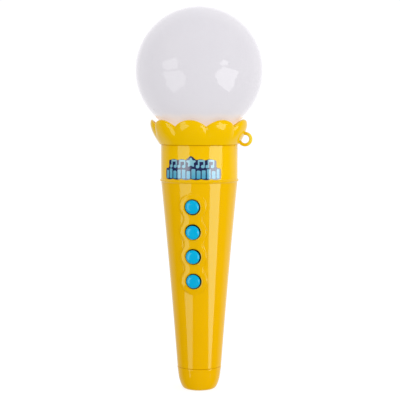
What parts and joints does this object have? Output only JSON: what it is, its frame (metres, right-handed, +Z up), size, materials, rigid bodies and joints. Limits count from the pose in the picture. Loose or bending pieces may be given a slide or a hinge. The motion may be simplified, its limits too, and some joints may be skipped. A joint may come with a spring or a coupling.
{
  "type": "toy microphone",
  "caption": "Light-up toy microphone: a milky globe in a petal collar on a tapered handle, with song push buttons, a strap eyelet and a battery cover at the back.",
  "frame": {"origin": "centre of the flat foot of the end cap, which the part stands on", "axes": "+Z up the handle to the top of the globe, the buttons face -Y, the strap eyelet is at +X"},
  "size_m": [0.07, 0.07, 0.21],
  "materials": {
    "milky_plastic": "milky, satin",
    "yellow_plastic": "glossy",
    "printed_sticker": "printed, glossy",
    "circuit_board": "solder mask",
    "black_resin": "cast resin",
    "red_lens": "clear tinted",
    "green_lens": "clear tinted",
    "blue_lens": "clear tinted",
    "speaker_steel": "zinc plated",
    "black_paper": "pressed paper",
    "magnet_nickel": "nickel plated",
    "tray_plastic": "moulded",
    "cell_label": "wrapped",
    "contact_nickel": "nickel plated",
    "blue_plastic": "glossy",
    "clear_rubber": "silicone",
    "zinc_steel": "zinc plated",
    "black_insulation": "soft vinyl",
    "red_insulation": "soft vinyl"
  },
  "bodies": {
    "housing": {"globe": "milky_plastic", "petal_collar": "yellow_plastic", "front_shell": "yellow_plastic", "back_shell": "yellow_plastic", "end_cap": "yellow_plastic", "badge": "printed_sticker", "rubber_dome_1": "clear_rubber", "rubber_dome_2": "clear_rubber", "rubber_dome_3": "clear_rubber", "rubber_dome_4": "clear_rubber", "main_board": "circuit_board", "sound_chip": "black_resin", "board_screw": "zinc_steel", "led_board": "circuit_board", "led_red": "red_lens", "led_green": "green_lens", "led_blue": "blue_lens", "speaker_frame": "speaker_steel", "speaker_cone": "black_paper", "speaker_magnet": "magnet_nickel", "battery_tray": "tray_plastic", "cell_1": "cell_label", "cell_2": "cell_label", "bridge_contact": "contact_nickel", "top_contact_1": "contact_nickel", "top_contact_2": "contact_nickel", "cell_spring_1": "contact_nickel", "cell_spring_2": "contact_nickel", "case_screw_1": "zinc_steel", "case_screw_2": "zinc_steel", "case_screw_3": "zinc_steel", "case_screw_4": "zinc_steel", "case_screw_5": "zinc_steel", "battery_lead_1": "black_insulation", "battery_lead_2": "red_insulation", "speaker_lead_1": "black_insulation", "speaker_lead_2": "red_insulation", "led_lead_1": "black_insulation", "led_lead_2": "red_insulation"},
    "button_1": {"button_1": "blue_plastic"},
    "button_2": {"button_2": "blue_plastic"},
    "button_3": {"button_3": "blue_plastic"},
    "button_4": {"button_4": "blue_plastic"},
    "battery_cover": {"battery_cover": "yellow_plastic", "battery_cover_screw": "zinc_steel"}
  },
  "joints": [
    {"name": "button_1_press", "type": "slide", "parent": "housing", "child": "button_1", "axis": [0, 0.996, 0.0898], "range_m": [0, 0.0012], "stiffness_N_per_m": 300, "deforming": ["rubber_dome_1"]},
    {"name": "button_2_press", "type": "slide", "parent": "housing", "child": "button_2", "axis": [0, 0.996, 0.0898], "range_m": [0, 0.0012], "stiffness_N_per_m": 300, "deforming": ["rubber_dome_2"]},
    {"name": "button_3_press", "type": "slide", "parent": "housing", "child": "button_3", "axis": [0, 0.996, 0.0898], "range_m": [0, 0.0012], "stiffness_N_per_m": 300, "deforming": ["rubber_dome_3"]},
    {"name": "button_4_press", "type": "slide", "parent": "housing", "child": "button_4", "axis": [0, 0.996, 0.0898], "range_m": [0, 0.0012], "stiffness_N_per_m": 300, "deforming": ["rubber_dome_4"]},
    {"name": "battery_cover_lift", "type": "slide", "parent": "housing", "child": "battery_cover", "axis": [0, 1, 0], "range_m": [0, 0.03]}
  ]
}
